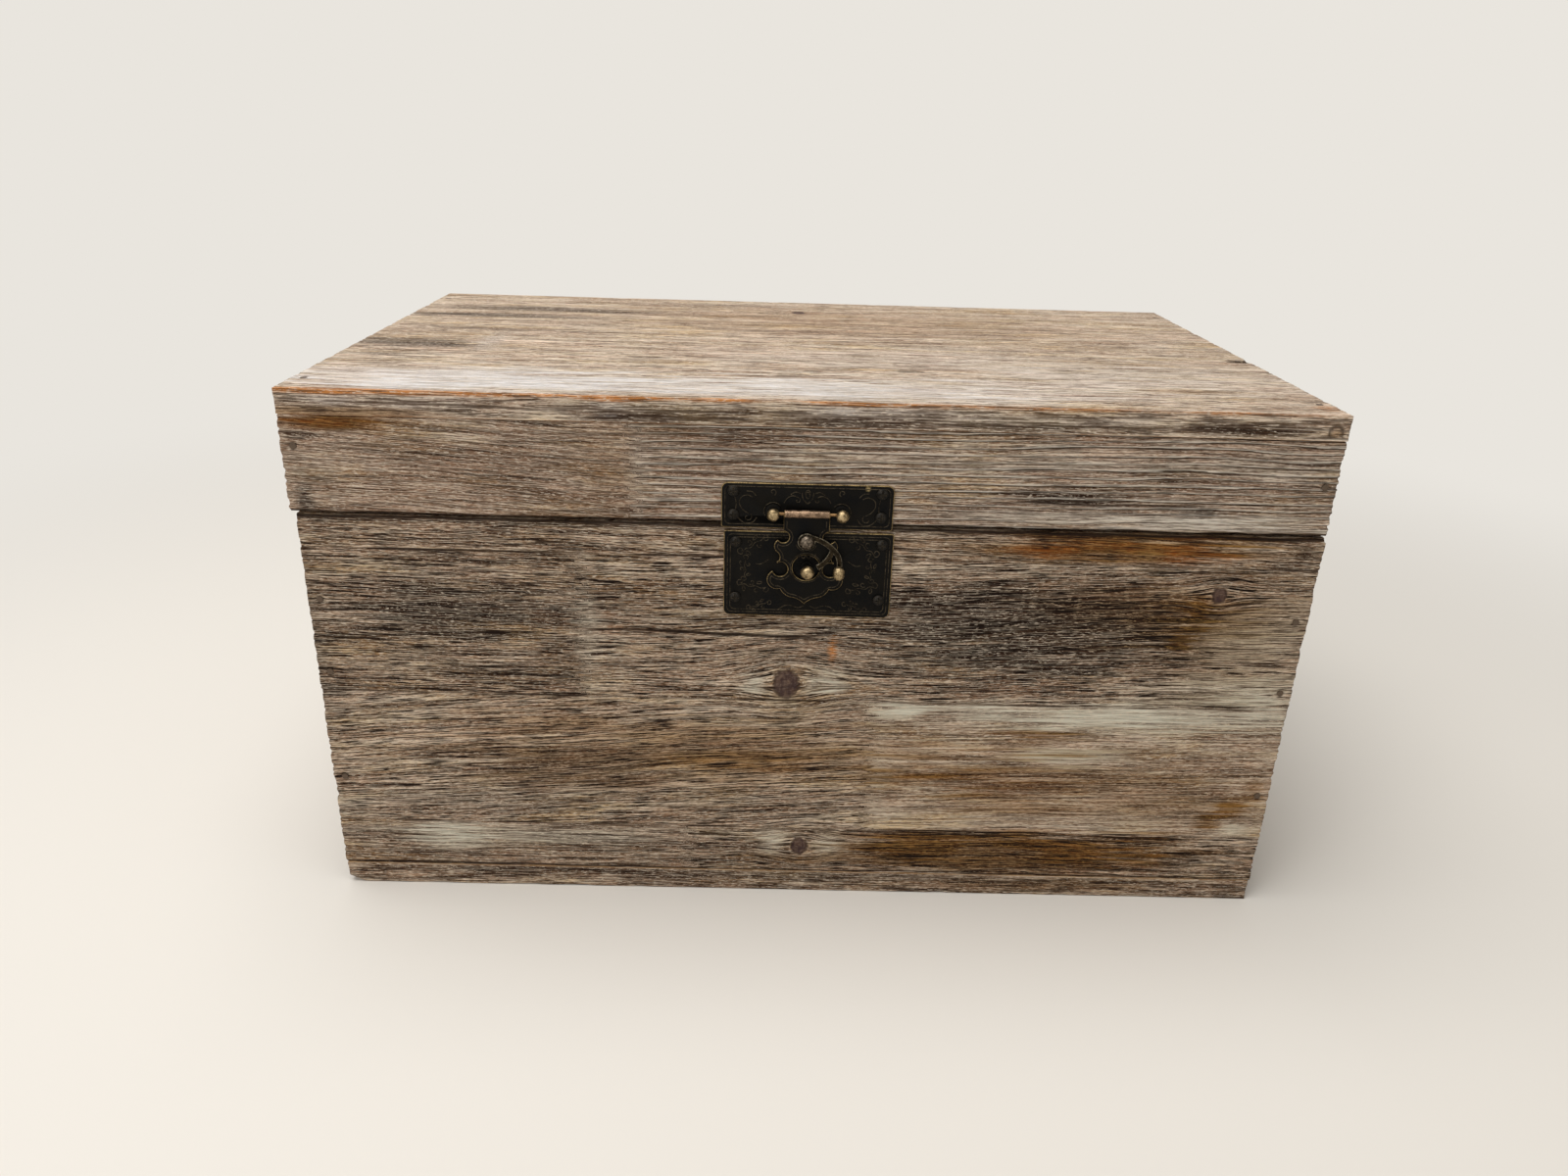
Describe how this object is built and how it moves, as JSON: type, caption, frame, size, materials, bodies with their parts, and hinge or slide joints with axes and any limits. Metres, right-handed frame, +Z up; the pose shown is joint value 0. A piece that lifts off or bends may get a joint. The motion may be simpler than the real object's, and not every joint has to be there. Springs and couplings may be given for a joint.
{
  "type": "storage chest",
  "caption": "Small top-opening rustic storage chest of wire-brushed, lime-washed boards, with butt hinges at the back and a cloud-shaped hasp with a swing hook on the front.",
  "frame": {"origin": "on the floor, on the bottom board's underside, under the middle of the lid", "axes": "+X along the chest's width, to the right seen from the front; +Y to the back, where the hinges are; +Z up"},
  "size_m": [0.4604, 0.2941, 0.2527],
  "materials": {
    "brushed_pine_body": "wire-brushed softwood, grey-brown stain with a worn lime wash",
    "brushed_pine_lid": "wire-brushed softwood, paler lime wash and rubbed orange arrises",
    "antique_bronze": "stamped plate, dark antique-bronze plating rubbed through to brass on its edges",
    "aged_brass": "dark plating half rubbed away",
    "worn_brass": "bright, rubbed by handling",
    "blackened_screw": "blackened",
    "nail_steel": "dull, lightly rusted"
  },
  "bodies": {
    "base": {"bottom_board": "brushed_pine_body", "front_panel": "brushed_pine_body", "back_panel": "brushed_pine_body", "left_end_panel": "brushed_pine_body", "right_end_panel": "brushed_pine_body", "front_panel_brads": "nail_steel", "back_panel_brads": "nail_steel", "bottom_board_brads": "nail_steel", "hasp_lower_plate": "antique_bronze", "lower_plate_screws": "blackened_screw", "latch_stud": "worn_brass", "hinge_left_body_leaf": "antique_bronze", "hinge_right_body_leaf": "antique_bronze", "hinge_left_pin": "antique_bronze", "hinge_right_pin": "antique_bronze", "hinge_body_screws": "blackened_screw"},
    "lid": {"lid_top_board": "brushed_pine_lid", "lid_front_rail": "brushed_pine_lid", "lid_back_rail": "brushed_pine_lid", "lid_left_rail": "brushed_pine_lid", "lid_right_rail": "brushed_pine_lid", "lid_rail_brads": "nail_steel", "lid_top_brads": "nail_steel", "hasp_upper_plate": "antique_bronze", "upper_plate_screws": "blackened_screw", "left_rod_post": "worn_brass", "right_rod_post": "worn_brass", "hasp_rod": "aged_brass", "hinge_left_lid_leaf": "antique_bronze", "hinge_right_lid_leaf": "antique_bronze", "hinge_lid_screws": "blackened_screw"},
    "flap": {"hasp_flap": "antique_bronze", "hook_rivet": "aged_brass"},
    "hook": {"swing_hook": "aged_brass", "hook_knob": "worn_brass"}
  },
  "joints": [
    {"name": "lid_hinge", "type": "hinge", "parent": "base", "child": "lid", "pos_m": [0, 0.1415, 0.197], "axis": [-1, 0, 0], "range_deg": [0, 175]},
    {"name": "flap_hinge", "type": "hinge", "parent": "lid", "child": "flap", "pos_m": [-0.0022, -0.14295, 0.20355], "axis": [-1, 0, 0], "range_deg": [0, 155]},
    {"name": "hook_pivot", "type": "hinge", "parent": "flap", "child": "hook", "pos_m": [-0.00205, -0.143, 0.1908], "axis": [0, -1, 0], "range_deg": [-11, 45]}
  ]
}
